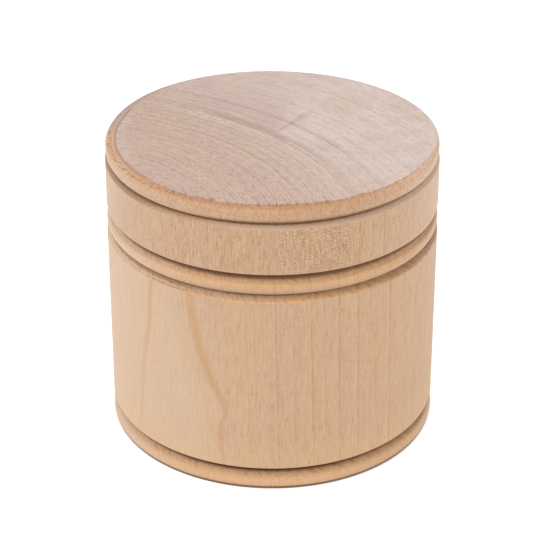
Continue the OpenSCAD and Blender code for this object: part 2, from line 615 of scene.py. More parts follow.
# Reach of a growth line, of the bright wood before it and of the dull wood after it
GROWTH_REACH = ((-0.30, 0.0, 0.0, 0.20), (-1.1, -0.4, -0.4, -0.1), (0.0, 0.3, 0.3, 2.4))

# Share of paler wood on the side: (azimuth, share); on the lid's band its rise towards
# both limbs is painted sheen
BODY_PALE = (
    (-180, 0.30), (-100, 0.80), (-45, 0.95), (-30, 0.62), (-22, 0.30), (-10, 0.12),
    (5, 0.0), (30, 0.10), (48, 0.06), (70, 0.04), (180, 0.30),
)
LID_PALE_AND_SHEEN = (
    (-180, 0.40), (-80, 0.85), (-60, 0.55), (-45, 0.30), (-20, 0.10), (5, 0.0), (22, 0.0),
    (40, 0.18), (60, 0.50), (80, 0.80), (180, 0.40),
)
# Share of paler wood and painted sheen on beads and rims, which rises towards the limbs:
# (azimuth, share)
BODY_BEAD_PALE_AND_SHEEN = (
    (-180, 0.30), (-75, 1.00), (-55, 0.78), (-38, 0.36), (-22, 0.08), (40, 0.0),
    (60, 0.25), (75, 0.45), (180, 0.30),
)
LID_BEAD_PALE_AND_SHEEN = (
    (-180, 0.40), (-75, 0.75), (-52, 0.45), (-37, 0.26), (-20, 0.16), (-5, 0.05),
    (20, 0.0), (35, 0.22), (50, 0.55), (67, 1.00), (180, 0.40),
)

# Growth lines that the wall cuts nearly along: (height, azimuth)
LEFT_STREAK = (
    (0, -54.0), (8, -53.0), (20, -51.3), (30, -49.6), (37, -47.6), (41, -46.4),
    (50, -45.6), (55, -44.0), (64, -42.5),
)
FRONT_STREAK = (
    (0, -16.5), (7, -16.8), (13, -17.4), (18.5, -17.3), (22.5, -15.9), (26.5, -17.4),
    (31, -20.6), (37, -23.7), (47, -26.9), (54, -28.4), (64, -29.5),
)
# Heights and azimuths between which both streaks lie, and the front one on the whole
STREAK_HEIGHTS, STREAK_TURN = (0.0, 64.0), (-60.0, 0.0)
STREAK_MIDDLE = -24.0
# How far both waver; reach of the left one, and heights and shares between which it grows
STREAK_WAVER = 0.9
LEFT_REACH = (-1.1, -0.1, 0.2, 1.6)
LEFT_GROWS = (5.0, 52.0, 0.28, 0.62)
# Heights between which the front one widens from the first to the second reach, its
# sharp middle, and heights and shares between which it grows
FRONT_WIDENS = (19.0, 29.0, 1.0, 2.1)
FRONT_SHARP = 0.1
FRONT_GROWS = (6.0, 16.0, 0.45, 0.92)
# Heights and shares between which painted floor light makes the wall brighter and more
# golden towards its foot
WALL_FLOOR_LIGHT = (17.0, 7.0, 0.0, 0.35)

# The outside of the box begins at this radius
OUTSIDE_R = GROOVE_R - 0.1

# Zones are given by where they begin, are full, are last full and are gone.
# Painted shade in the turned grooves, and the painted contact shadow under the foot:
# heights, depth
BODY_GROOVE_SHADE = (
    ((-0.2, 0.0, 0.8, 1.35), 0.85),
    ((4.3, 4.9, 6.4, 6.5), 0.85),
    ((56.05, 56.4, 56.7, 57.6), 0.85),
    ((60.2, 61.3, 62.7, 62.8), 0.85),
)
LID_GROOVE_SHADE = (((75.6, 76.0, 76.4, 77.0), 0.60),)
# Painted shade on slopes under overhangs and beside grooves: heights, azimuths, depth
BODY_SHADES = (
    ((0.0, 0.2, 1.0, 1.6), (25, 50, 125, 165), 0.20),
    ((3.0, 4.0, 5.0, 6.4), (38, 72, 125, 165), 0.40),
    ((54.4, 55.1, 56.4, 56.6), (25, 60, 125, 165), 0.28),
    ((55.5, 55.75, 56.5, 56.6), (-165, -125, -38, -18), 0.26),
    ((56.8, 57.4, 60.6, 61.6), (-30, -8, 10, 26), 0.05),
    ((59.4, 60.2, 61.6, 62.2), (46, 74, 125, 165), 0.34),
)
LID_SHADES = (
    ((74.5, 74.9, 75.6, 75.9), (-165, -125, -58, -34), 0.34),
    ((75.3, 75.7, 76.1, 76.4), (-165, -125, -50, -10), 0.50),
    ((76.2, 76.5, 76.7, 77.6), (-35, -12, 30, 58), 0.55),
)
# How far the borders of slopes wander: azimuths between which it grows, and how far
RAGGED = (-25, 15, 0.3, 1.0)

# Painted light on the left of the body's shoulder, which narrows its shade: heights,
# azimuths
LIT_SHOULDER = ((55.05, 55.2, 55.45, 55.65), (-165, -125, -48, -20))
# Paler, greyer tone further on, under the body's bead and on the bevel of the lid's band:
# painted light in shaded places, and paler wood on the shoulder's left
PALE_AND_LIT_ZONES = (
    ((55.0, 55.6, 56.0, 56.4), (-48, -20, -20, 10)),
    ((56.7, 57.0, 57.8, 58.3), (35, 55, 78, 85)),
    ((74.7, 75.0, 75.7, 76.0), (-38, -8, 125, 165)),
)
# Reddish torn fibres beside the body's grooves, which also paint shade there: heights,
# azimuths, and values of the tears between which they show
TEAR_HEIGHTS = ((3.2, 3.9, 5.0, 6.0), (54.7, 55.2, 56.2, 56.6), (59.7, 60.4, 62.0, 62.4))
TEAR_TURN, TEARS_SHOW = (-72, -42, 125, 165), (0.48, 0.62)
# Brown split along the edge of the shoulder: heights, azimuths, and how it breaks up
SPLIT = ((54.94, 55.04, 55.12, 55.24), (-48, -44, -32, -29))
SPLIT_BREAKS = (0.36, 0.50, 0.3)
# Painted light that makes the foot golden and brighter at its front, and painted shade,
# reddish, on the foot under the wall's groove: heights, azimuths
FOOT_LIGHT_HEIGHTS, FOOT_LIGHT_TURN = (8.0, 5.0), (-75, -40, 15, 55)
FOOT_PAINTED_SHADE = ((2.3, 3.5, 5.0, 6.4), (-75, -35, 78, 90))

# Torn fibres on the disc's crown: azimuths between which their middle moves inwards and
# its radii there, their reach, and azimuths between which they are strong
CROWN_MIDDLE = (-62, -38, 41.6, 41.05)
CROWN_REACH, CROWN_STRONG = (0.80, 0.30), (-165, -125, -35, -15)
# Heights between which the step up to the flat top begins to show
STEP_FACE = (79.86, 79.95)
# Painted shade, grey, at the back of the disc: azimuths, radii where it begins
BACK_TURN, BACK_OUT = (-170, -145, -100, -84), (38.0, 39.0)
# Where the disc's crown stays in sight past the flat top: azimuths, azimuths between
# which the strip's inner radius changes and its radii there, softness of its edge
STRIP_TURN = (-156, -150, -108, -102)
STRIP_EDGE, STRIP_SOFT = (-150, -110, 42.2, 40.1), (-0.12, 0.12)
# Edge of the flat top: azimuths of its brown line, partly painted shade of the step and
# partly dark pores, frayed fibres and ticks
LINE_TURN, FRAYED_TURN = (-165, -125, -65, -45), (-70, -40, 60, 85)
TICK_TURN = (-50, -28, 8, 28)

# Lid's band: azimuths between which it is browner, azimuths and shares between which
# its fibres change, and azimuths and lower border of its stippled patch
BROWN_TURN = (-165, -125, 26.2, 27.2)
HAIRY = ((-75.0, -25.0, 0.25, 1.0), (27.2, 26.2, 0.55, 1.0), (100.0, 165.0, 1.0, 0.45))
STIPPLE_TURN, STIPPLE_LOW = (-6.0, 15.0, 25.5, 27.2), (63.0, 65.0)

# Flat top: middle of the turned marks; weights of X and Y in the sweep from brown to
# pale, and the sums between which it runs
TOP_MIDDLE = (1.0, 1.5)
SWEEP_X, SWEEP_Y, SWEEP = 0.85, 0.5, (-24.0, 20.0)
# Painted reflection of the turned marks, a darker pink sector and a white wedge: angles
# from +X about that middle, distances and shares
PINK_SHEEN_TURN, PINK_SHEEN_OUT = (56, 100, 123, 167), (42.0, 3.0, 0.30, 0.65)
SHEEN_WEDGE_TURN, SHEEN_WEDGE_OUT = (-71, -39, 14, 46), (19.0, 2.0)
# Beige and pink clouds: values of the noise and shares
BEIGE_CLOUDS, PINK_CLOUDS = (0.50, 0.66, 0.0, 0.45), (0.50, 0.36, 0.0, 0.35)
# Chalky fleck and brown stain: distances and directions from the pith
CHALK = ((79.8, 80.8, 82.4, 83.2), (45, 52, 62, 69))
STAIN = ((83.0, 83.6, 84.9, 85.2), (36, 43, 52, 58))
# Greyish margin on the left: distances from the axis, azimuths
MARGIN = ((37.0, 38.5, 39.5, 40.0), (-115, -98, -78, -62))
# Dash of the turning mark: angle from +X, length, half width along it, sharp middle
DASH_ANGLE, DASH_LONG = math.radians(57.0), (0.3, 1.4, 2.5, 20.0)
DASH_HALF, DASH_SHARP = (2.0, 16.0, 0.7, 1.9), 0.1
# Contrast of the marks from the brown to the pale side
TOP_CONTRAST = (1.0, 0.55)
# How far fine lines waver and are hairy, and slices of the noise for their patches
# and for the rays
LINE_WAVER, LINE_HAIRS, PATCH_SLICE, RAY_SLICE = 7.0, 2.6, 9.0, 3.0
# Directions from the pith in which growth lines are strong
RINGS_STRONG = (26.0, 33.0, 56.0, 66.0)

# Side grain: share of pale wood up to which flecks and fibres weaken, their shares,
# and share of grit in that of the flecks
PALE_CALM, FLECK_SHARE, FIBRE_SHARE = 0.9, (0.34, 0.12), (0.18, 0.10)
GRIT_SHARE = 0.38
# Slopes between which turned wood changes from facing down to out and from out to up,
# its specks change, and end grain takes over
FACING_DOWN, FACING_UP = (-0.55, 0.0), (0.0, 0.6)
SPECKS_UP, END_SLOPE = (0.0, 0.8), (0.55, 0.9)

# Noises: scale for each millimetre along X, Y and Z, detail
RING_NOISE = ((0.08, 0.08, 0.02), 2.0)
STREAK_NOISE = ((0.5, 0.5, 0.35), 2.0)
FIBRE_NOISE, FIBRE_STRETCH = ((5.0, 5.0, 0.30), 1.0), 2.4
GRIT_NOISE = ((4.6, 4.6, 3.6), 0.0)
STIPPLE_NOISE = ((4.2, 4.2, 3.6), 1.0)
CLOUD_NOISE = ((0.085, 0.085, 0.085), 2.0)
HAIR_NOISE = ((1.5, 1.5, 1.5), 2.0)
# The same by azimuth, radius and height; by slanting azimuth, height and radius; and by
# distance from the pith and about it
THREAD_NOISE = ((2.2, 0.8, 0.6), 2.0)
TEAR_NOISE, TEAR_SLANT = ((1.1, 0.6, 0.5), 2.0), 0.75
WAVER_NOISE = ((0.55, 0.09, 1.0), 2.0)
# Spots: the same, then the values of the noise at which a spot begins and is full, and
# where given what is left between spots
SIDE_TONES = ((0.20, 0.20, 0.03), 3.0, 0.36, 0.64)
SIDE_FIBRES = ((1.5, 1.5, 0.09), 3.0, 0.40, 0.78)
LINE_BREAKS = ((0.9, 0.9, 0.22), 2.0, 0.30, 0.62, 0.25)
STREAK_PATCHES = ((1.2, 1.2, 0.5), 2.0, 0.32, 0.60, 0.75)
BEAD_SPECKS = ((3.2, 3.2, 1.8), 2.0, 0.46, 0.68)
BEAD_CLOUDS = ((0.7, 0.7, 0.5), 3.0, 0.36, 0.64)
END_SPECKS = ((2.2, 2.2, 2.2), 2.0, 0.44, 0.70)
TOP_SPECKS = ((3.2, 3.2, 3.2), 2.0, 0.46, 0.70)
TOP_FUZZ = ((1.6, 1.6, 1.6), 3.0, 0.45, 0.70)
DASH_PATCHES = ((0.6, 0.6, 0.6), 2.0, 0.35, 0.62, 0.35)
CROWN_FIBRES = ((0.85, 0.7, 0.5), 2.0, 0.46, 0.58)
LINE_PATCHES = ((1.3, 0.42, 1.0), 3.0, 0.40, 0.62)
RAYS = ((0.30, 2.2, 1.0), 2.0, 0.48, 0.74)
# Values of the noises between which dark and pale fibres, their stretches, dark and
# pale threads, and dark and pale flecks show
FIBRES_DARK, FIBRES_PALE, STRETCHES = (0.50, 0.68), (0.47, 0.32), (0.42, 0.58)
THREADS_DARK, THREADS_PALE = (0.50, 0.66), (0.47, 0.36)
FLECKS_DARK, FLECKS_PALE = (0.50, 0.70), (0.50, 0.30)

# Depth of open fibres and of specks in the bump, roughness on the side and on the top
FIBRE_DEPTH, SPECK_DEPTH, ROUGHNESS = -0.7, -0.5, (0.50, 0.72)

# Pale tones of the wall and the band; the band's share of it is partly painted sheen
# towards its limbs
SIDE_PALE = srgb(215, 185, 156)
BAND_PALE = srgb(216, 188, 163)
BAND_FLECK = srgb(156, 104, 64)
SIDE_PINK = srgb(208, 172, 140)
SIDE_GOLD = srgb(210, 173, 136)
SIDE_LINE = srgb(160, 113, 76)
GOLDEN_GRAIN_AND_LIGHT = srgb(224, 186, 141)
FLECK = srgb(168, 115, 77)
FLECK_PALE = srgb(236, 210, 184)
STREAK = srgb(203, 160, 118)
PALE_AND_LIT_TONE = srgb(216, 184, 159)
SHOULDER_LIGHT = srgb(231, 194, 161)
END_GRAIN = srgb(199, 156, 119)
END_SPECK = srgb(150, 100, 64)
EDGE_BROWN = srgb(140, 102, 78)
EDGE_PALE = srgb(228, 200, 184)
# Painted shade for the turned grooves and the shaded slopes
PAINTED_SHADE = srgb(92, 57, 36)
RIM_PALE_AND_SHEEN = srgb(223, 192, 167)
TORN_BROWN = srgb(168, 104, 74)
FOOT_PAINTED_LIGHT = srgb(234, 191, 146)
BACK_SHADE = srgb(158, 149, 150)
TOP_BROWN = srgb(207, 179, 163)
TOP_PALE = srgb(222, 204, 195)
TOP_PINK = srgb(197, 173, 165)
TOP_WHITE = srgb(226, 210, 202)
TOP_LINE = srgb(150, 118, 103)
TOP_BEIGE = srgb(208, 186, 166)
TOP_GREY = srgb(208, 197, 187)
BODY_BEAD = Bead(
    tones=(srgb(190, 156, 128), srgb(213, 172, 132), srgb(226, 180, 132)),
    pale=BODY_BEAD_PALE_AND_SHEEN,
    specks=(0.10, 0.26),
    threads=0.15,
)
LID_BEAD = Bead(
    tones=(srgb(186, 153, 128), srgb(203, 165, 131), srgb(201, 158, 122)),
    pale=LID_BEAD_PALE_AND_SHEEN,
    specks=(0.34, 0.58),
    threads=0.30,
)


class Log:
    """Fields of one piece of the log: places, directions, rings and torn fibres."""

    def __init__(self, n, looks):
        coords = n.new("ShaderNodeTexCoord")
        self.place = n.stretch(coords.outputs["Object"], (1.0 / MM,) * 3)
        self.x, self.y, self.z = n.split(self.place)
        self.out = n.length_of(self.x, self.y)
        self.outside = n.math("GREATER_THAN", self.out, OUTSIDE_R)
        self.up = n.split(coords.outputs["Normal"])[2]
        front = n.times(self.y, -1.0)
        self.azimuth = n.math("DEGREES", n.math("ARCTAN2", self.x, front))
        self.set_rings(n, looks)
        self.set_fibres(n)
        self.pale_at = self.azimuth
        if looks.streak:
            streak_at = streak_azimuth(n, self, looks.streak)
            self.pale_at = n.less(self.azimuth, n.less(streak_at, STREAK_MIDDLE))

    def set_rings(self, n, looks):
        """Distance from the pith in the rings' sense, direction from it, growth lines."""
        from_x = n.less(self.x, PITH[0])
        from_y = n.less(self.y, PITH[1])
        reach = n.length_of(from_x, from_y)
        wander = n.less(n.noise(self.place, *RING_NOISE), 0.5)
        drift = n.times(n.less(self.z, looks.lines_z), RING_DRIFT)
        self.ring = n.add(reach, drift, n.times(wander, RING_WANDER))
        turn = n.math("ARCTAN2", from_y, from_x)
        self.heart = n.math("DEGREES", turn)
        self.about = n.times(turn, reach)
        self.lines, self.bright, self.dull = growth(n, self.ring, looks.lines)

    def set_fibres(self, n):
        """Upright threads, slanting tears and heights whose borders the tears move."""
        self.unrolled = n.join(self.azimuth, self.out, self.z)
        self.threads = n.noise(self.unrolled, *THREAD_NOISE)
        self.dark_threads = n.ease(self.threads, *THREADS_DARK)
        slanting = n.add(n.times(self.azimuth, TEAR_SLANT), self.z)
        self.tears = n.noise(n.join(slanting, self.z, self.out), *TEAR_NOISE)
        wander = n.ease(self.azimuth, *RAGGED)
        self.ragged = n.add(self.z, n.times(n.less(self.tears, 0.5), wander))


def growth(n, ring, lines):
    """Thin dark growth lines, the bright wood before and the dull wood after them."""
    totals = [0.0] * len(GROWTH_REACH)
    for where, strength in lines:
        away = n.less(ring, where)
        for part, reach in enumerate(GROWTH_REACH):
            line = n.times(n.zone(away, *reach), strength)
            totals[part] = n.add(totals[part], line)
    return totals


def streak_azimuth(n, log, streak):
    """Azimuth of a streak on the wall at each height."""
    return n.path(log.z, STREAK_HEIGHTS, STREAK_TURN, streak)


def share_round(n, azimuth, stops):
    """Share that changes round the axis through (azimuth, share) stops."""
    return n.path(azimuth, (-180.0, 180.0), (0.0, 1.0), stops)


def region(n, log, height, zones):
    """1 within heights and azimuths on the outside, with soft borders."""
    return n.times(n.patch(height, log.azimuth, zones), log.outside)


def speckled(n, colour, dark, noise, depth, balance=0.7):
    """Wood with flecks that are darker and, by a balance, paler than its own tone."""
    colour = n.coat(colour, dark, n.ease(noise, *FLECKS_DARK), depth)
    return n.coat(colour, FLECK_PALE, n.ease(noise, *FLECKS_PALE), depth, share=balance)


def fibres(n, log, length):
    """Thin upright fibres: dark ones, their stretches of about a length, and pale ones."""
    thread = n.noise(log.place, *FIBRE_NOISE)
    stretch = n.noise(log.place, (FIBRE_STRETCH, FIBRE_STRETCH, 1.0 / length), 1.0)
    dark = n.ease(thread, *FIBRES_DARK)
    broken = n.ease(stretch, *STRETCHES)
    return dark, n.times(dark, broken), n.times(n.ease(thread, *FIBRES_PALE), broken)


def body_figure(n, log, side):
    """The two long streaks on the body's wall, which nearly follow growth lines, and
    painted floor light towards its foot.
    """
    arc_per_degree = math.radians(1.0) * WALL_R
    waver = n.times(n.less(n.noise(log.place, *STREAK_NOISE), 0.5), STREAK_WAVER)
    left_turn = n.less(log.azimuth, streak_azimuth(n, log, LEFT_STREAK))
    front_turn = n.less(log.azimuth, streak_azimuth(n, log, FRONT_STREAK))
    left_off = n.add(n.times(left_turn, arc_per_degree), waver)
    front_off = n.add(n.times(front_turn, arc_per_degree), waver)
    left = n.times(n.zone(left_off, *LEFT_REACH), n.ease(log.z, *LEFT_GROWS))
    spread = n.ease(log.z, *FRONT_WIDENS)
    front = n.times(
        n.ease(n.size(front_off), spread, FRONT_SHARP),
        n.spots(log.place, *STREAK_PATCHES),
        n.ease(log.z, *FRONT_GROWS),
    )
    # Painted floor light: the wall turns brighter and golden towards its foot
    side = n.mix(n.ease(log.z, *WALL_FLOOR_LIGHT), side, GOLDEN_GRAIN_AND_LIGHT)
    return n.mix(front, n.mix(left, side, STREAK), STREAK)


def lid_figure(n, log, side):
    """A browner left half and a stippled patch on the front of the lid's band."""
    brown = n.lift(n.zone(log.azimuth, *BROWN_TURN), least=0.02, more=0.08)
    side = n.mix(brown, side, SIDE_LINE)
    dark, dashes, pale = fibres(n, log, length=0.5)
    hairy = n.times(*[n.ease(log.azimuth, *change) for change in HAIRY])
    side = n.coat(side, BAND_FLECK, dark, hairy, share=0.08)
    side = n.coat(side, BAND_FLECK, dashes, hairy, share=0.42)
    side = n.coat(side, FLECK_PALE, pale, hairy, share=0.30)
    patch = n.times(n.zone(log.azimuth, *STIPPLE_TURN), n.ease(log.z, *STIPPLE_LOW))
    depth = n.lift(patch, least=0.25, more=0.70)
    stipple = n.noise(log.place, *STIPPLE_NOISE)
    return speckled(n, side, BAND_FLECK, stipple, depth, balance=0.55)


def side_grain(n, log, looks):
    """Colour of wood cut along the fibres, and its broken dark fibres."""
    pale_share = share_round(n, log.pale_at, looks.pale)
    fleck_share = n.ease(pale_share, 0.0, PALE_CALM, *FLECK_SHARE)
    fibre_share = n.ease(pale_share, 0.0, PALE_CALM, *FIBRE_SHARE)
    broken = n.spots(log.place, *LINE_BREAKS)
    threads, dashes, pale_dashes = fibres(n, log, length=0.9)
    grit = n.noise(log.place, *GRIT_NOISE)
    colour = n.mix(n.spots(log.place, *SIDE_TONES), SIDE_PINK, SIDE_GOLD)
    colour = n.mix(pale_share, colour, looks.pale_tone)
    colour = n.coat(colour, SIDE_LINE, n.spots(log.place, *SIDE_FIBRES), fibre_share)
    colour = n.coat(colour, GOLDEN_GRAIN_AND_LIGHT, log.bright, share=0.30)
    colour = n.coat(colour, SIDE_LINE, log.dull, share=0.07)
    colour = n.coat(colour, SIDE_LINE, log.lines, broken, share=0.55)
    colour = n.coat(colour, FLECK, threads, fleck_share, share=0.30)
    colour = n.coat(colour, FLECK_PALE, pale_dashes, fleck_share, share=0.50)
    colour = looks.figure(n, log, colour)
    colour = n.coat(colour, FLECK, dashes, fleck_share)
    return speckled(n, colour, SIDE_LINE, grit, n.times(fleck_share, GRIT_SHARE)), dashes


def end_wood(n, log):
    """Colour of wood cut across the fibres, as the tools left it."""
    colour = n.coat(END_GRAIN, SIDE_LINE, log.lines, share=0.4)
    return n.coat(colour, END_SPECK, n.spots(log.place, *END_SPECKS), share=0.4)


def bead_wood(n, log, bead):
    """Colour of turned beads, coves and rims."""
    facing_down, facing_out, facing_up = bead.tones
    # Tones by facing: the down-facing one is greyed as painted floor light
    colour = n.mix(n.ease(log.up, *FACING_DOWN), facing_down, facing_out)
    colour = n.mix(n.ease(log.up, *FACING_UP), colour, facing_up)
    # Paler wood, and painted sheen that rises towards the limbs
    colour = n.mix(share_round(n, log.azimuth, bead.pale), colour, RIM_PALE_AND_SHEEN)
    colour = n.coat(colour, GOLDEN_GRAIN_AND_LIGHT, n.spots(log.place, *BEAD_CLOUDS), share=0.22)
    colour = n.coat(colour, SIDE_LINE, log.lines, share=0.35)
    # Painted light: the foot turns golden and brighter at its front and left
    glow = n.times(n.ease(log.z, *FOOT_LIGHT_HEIGHTS), n.zone(log.azimuth, *FOOT_LIGHT_TURN))
    colour = n.coat(colour, FOOT_PAINTED_LIGHT, glow, share=0.45)
    colour = n.coat(colour, SIDE_LINE, log.dark_threads, share=bead.threads)
    # Painted shade, reddish, on the foot under the wall's groove
    colour = n.coat(colour, TORN_BROWN, region(n, log, log.z, FOOT_PAINTED_SHADE), share=0.14)
    speck_share = n.ease(log.up, *SPECKS_UP, *bead.specks)
    return n.coat(colour, END_SPECK, n.spots(log.place, *BEAD_SPECKS), speck_share)


def turned_share(n, log, plain):
    """1 on the outside below and above the plain wall or band."""
    below = n.math("LESS_THAN", log.z, plain[0])
    above = n.math("GREATER_THAN", log.z, plain[1])
    return n.times(log.outside, n.add(below, above))


def shoulder_wood(n, log, colour):
    """Painted light and paler wood, torn fibres that also paint shade, and the split
    beside the turned grooves.
    """
    # Painted light: a brighter tone on the left of the shoulder that narrows its shade
    bright = region(n, log, log.ragged, LIT_SHOULDER)
    colour = n.mix(bright, colour, SHOULDER_LIGHT)
    # Paler, greyer tone on shaded zones: painted light, with paler wood on the shoulder's
    # left
    for zones in PALE_AND_LIT_ZONES:
        pale = region(n, log, log.ragged, zones)
        colour = n.coat(colour, PALE_AND_LIT_TONE, pale, share=0.6)
    # Reddish torn fibres, which also paint shade beside the grooves on the front and right
    torn = n.add(*[region(n, log, log.z, (tear, TEAR_TURN)) for tear in TEAR_HEIGHTS])
    colour = n.coat(colour, TORN_BROWN, torn, n.ease(log.tears, *TEARS_SHOW), share=0.34)
    split = region(n, log, log.ragged, SPLIT)
    return n.coat(colour, EDGE_BROWN, split, n.ease(log.tears, *SPLIT_BREAKS), share=0.60)


def crown_wood(n, log, colour):
    """Torn fibres on the disc's crown, and the step up to the flat top."""
    off = n.less(log.out, n.ease(log.azimuth, *CROWN_MIDDLE))
    crown = n.ease(n.size(off), *CROWN_REACH)
    crown = n.times(crown, n.math("GREATER_THAN", log.z, DISC_HIGH))
    depth = n.lift(n.zone(log.azimuth, *CROWN_STRONG), least=0.26, more=0.39)
    torn = n.spots(log.unrolled, *CROWN_FIBRES)
    colour = n.coat(colour, TORN_BROWN, crown, torn, depth)
    return n.coat(colour, TOP_BROWN, n.ease(log.z, *STEP_FACE), log.outside, share=0.45)


def shaded_wood(n, log, looks, colour):
    """Painted shade on the shaded slopes and in the depth of the turned grooves."""
    # Painted shade: slopes and the depth of the grooves are mixed towards a dark brown
    for *zones, depth in looks.shades:
        slope = region(n, log, log.ragged, zones)
        colour = n.coat(colour, PAINTED_SHADE, slope, share=depth)
    dark = [n.times(n.zone(log.z, *heights), depth) for heights, depth in looks.grooves]
    return n.coat(colour, PAINTED_SHADE, log.outside, n.add(*dark))


def painted_back_shade(n, log, colour):
    """Painted shade, grey, at the back of the disc."""
    back = n.times(n.zone(log.azimuth, *BACK_TURN), n.ease(log.out, *BACK_OUT))
    above = n.math("GREATER_THAN", log.z, DISC_LOW)
    return n.coat(colour, BACK_SHADE, back, above, share=0.5)


def flat_share(n, log):
    """1 on the flat top, but for the strip at the back that looks like the crown."""
    off = n.less(log.out, n.ease(log.azimuth, *STRIP_EDGE))
    strip = n.times(n.zone(log.azimuth, *STRIP_TURN), n.ease(off, *STRIP_SOFT))
    return n.times(n.attribute("faced"), n.less(1.0, strip))


def edge_wood(n, log, ticks, colour):
    """Brown line, partly painted shade, and frayed fibres along the edge of the flat top.
    """
    # Brown line on the left: partly painted shade under the step, partly dark pores
    left = n.zone(log.azimuth, *LINE_TURN)
    colour = n.coat(colour, EDGE_BROWN, n.attribute("crease"), left, share=0.70)
    frayed = n.times(n.attribute("frayed"), n.zone(log.azimuth, *FRAYED_TURN))
    colour = n.coat(colour, EDGE_BROWN, frayed, log.dark_threads, share=0.30)
    ticked = n.zone(log.azimuth, *TICK_TURN)
    colour = n.coat(colour, EDGE_BROWN, frayed, ticks, ticked, share=0.70)
    pale = n.ease(log.threads, *THREADS_PALE)
    return n.coat(colour, EDGE_PALE, frayed, pale, share=0.45)


def fine_lines(n, log, spacing, slice_at):
    """Hair-thin growth lines about the pith, broken up along their length."""
    about_pith = n.join(log.ring, log.about, slice_at)
    waver = n.times(n.noise(about_pith, *WAVER_NOISE), LINE_WAVER)
    hairs = n.times(n.noise(log.place, *HAIR_NOISE), LINE_HAIRS)
    phase = n.add(n.times(log.ring, 2.0 * math.pi / spacing), waver, hairs)
    line = n.ease(n.math("SINE", phase), 0.0, 1.0)
    patch_place = n.join(log.ring, log.about, slice_at + PATCH_SLICE)
    return n.times(line, n.spots(patch_place, *LINE_PATCHES))


def top_tone(n, log, sweep, fuzz):
    """Broad tones of the flat top: sweep, painted reflection in sectors, clouds, chalk,
    margin and stain.
    """
    off_x, off_y = n.less(log.x, TOP_MIDDLE[0]), n.less(log.y, TOP_MIDDLE[1])
    angle = n.math("DEGREES", n.math("ARCTAN2", off_y, off_x))
    out = n.length_of(off_x, off_y)
    colour = n.mix(sweep, TOP_BROWN, TOP_PALE)
    # Painted reflection of the turned marks: darker pink sector
    colour = n.coat(colour, TOP_PINK, n.zone(angle, *PINK_SHEEN_TURN), n.ease(out, *PINK_SHEEN_OUT))
    clouds = n.noise(log.place, *CLOUD_NOISE)
    colour = n.mix(n.ease(clouds, *BEIGE_CLOUDS), colour, TOP_BEIGE)
    colour = n.mix(n.ease(clouds, *PINK_CLOUDS), colour, TOP_PINK)
    # Painted reflection of the turned marks: white wedge
    wedge = n.times(n.zone(angle, *SHEEN_WEDGE_TURN), n.ease(out, *SHEEN_WEDGE_OUT))
    colour = n.coat(colour, TOP_WHITE, wedge, share=0.50)
    chalk = n.patch(log.ring, log.heart, CHALK)
    colour = n.coat(colour, TOP_WHITE, chalk, fuzz, share=0.75)
    margin = n.patch(log.out, log.azimuth, MARGIN)
    colour = n.coat(colour, TOP_GREY, margin, share=0.55)
    stain = n.patch(log.ring, log.heart, STAIN)
    colour = n.coat(colour, TOP_LINE, stain, share=0.30)
    return n.coat(colour, TOP_LINE, turning_dash(n, log, off_x, off_y), share=0.60)


def turning_dash(n, log, off_x, off_y):
    """The dark dash that runs out from the middle of the turned marks."""
    cos, sin = math.cos(DASH_ANGLE), math.sin(DASH_ANGLE)
    along = n.add(n.times(off_x, cos), n.times(off_y, sin))
    across = n.less(n.times(off_y, cos), n.times(off_x, sin))
    half_width = n.ease(along, *DASH_HALF)
    return n.times(
        n.zone(along, *DASH_LONG),
        n.ease(n.size(across), half_width, DASH_SHARP),
        n.spots(log.place, *DASH_PATCHES),
    )


def top_wood(n, log):
    """Colour of the flat top, sanded end grain with rings and rays; specks, wide lines."""
    sweep = n.ease(n.add(n.times(log.x, SWEEP_X), n.times(log.y, SWEEP_Y)), *SWEEP)
    contrast = n.ease(sweep, 0.0, 1.0, *TOP_CONTRAST)
    fuzz = n.spots(log.place, *TOP_FUZZ)
    close = fine_lines(n, log, spacing=1.05, slice_at=7.0)
    wide = fine_lines(n, log, spacing=2.30, slice_at=23.0)
    rays = n.spots(n.join(log.ring, log.about, RAY_SLICE), *RAYS)
    speck = n.spots(log.place, *TOP_SPECKS)
    colour = top_tone(n, log, sweep, fuzz)
    colour = n.coat(colour, TOP_LINE, close, contrast, share=0.44)
    colour = n.coat(colour, TOP_LINE, wide, contrast, share=0.30)
    colour = n.coat(colour, TOP_LINE, rays, contrast, share=0.26)
    colour = n.coat(colour, TOP_WHITE, fuzz, contrast, share=0.35)
    colour = n.coat(colour, TOP_LINE, speck, contrast, share=0.40)
    strong = n.lift(n.zone(log.heart, *RINGS_STRONG), least=0.30, more=0.35)
    colour = n.coat(colour, TOP_LINE, log.dull, strong, share=0.30)
    return n.coat(colour, TOP_LINE, log.lines, strong), speck, wide


def bare_surface(n, colour, faced, height):
    """Matte wood with open fibres and specks sunk into it."""
    bump = n.new("ShaderNodeBump")
    bump.inputs["Strength"].default_value = 0.6
    bump.inputs["Distance"].default_value = 0.05 * MM
    n.feed(bump.inputs["Height"], height)
    shader = n.new("ShaderNodeBsdfPrincipled")
    n.feed(shader.inputs["Base Color"], colour)
    n.feed(shader.inputs["Roughness"], n.ease(faced, 0.0, 1.0, *ROUGHNESS))
    shader.inputs["Specular IOR Level"].default_value = 0.25
    n.feed(shader.inputs["Normal"], bump.outputs[0])
    out = n.new("ShaderNodeOutputMaterial")
    n.feed(out.inputs["Surface"], shader.outputs[0])


def node_material(name):
    """New material, and its nodes."""
    material = bpy.data.materials.new(name)
    material.use_nodes = True
    return material, Nodes(material.node_tree)


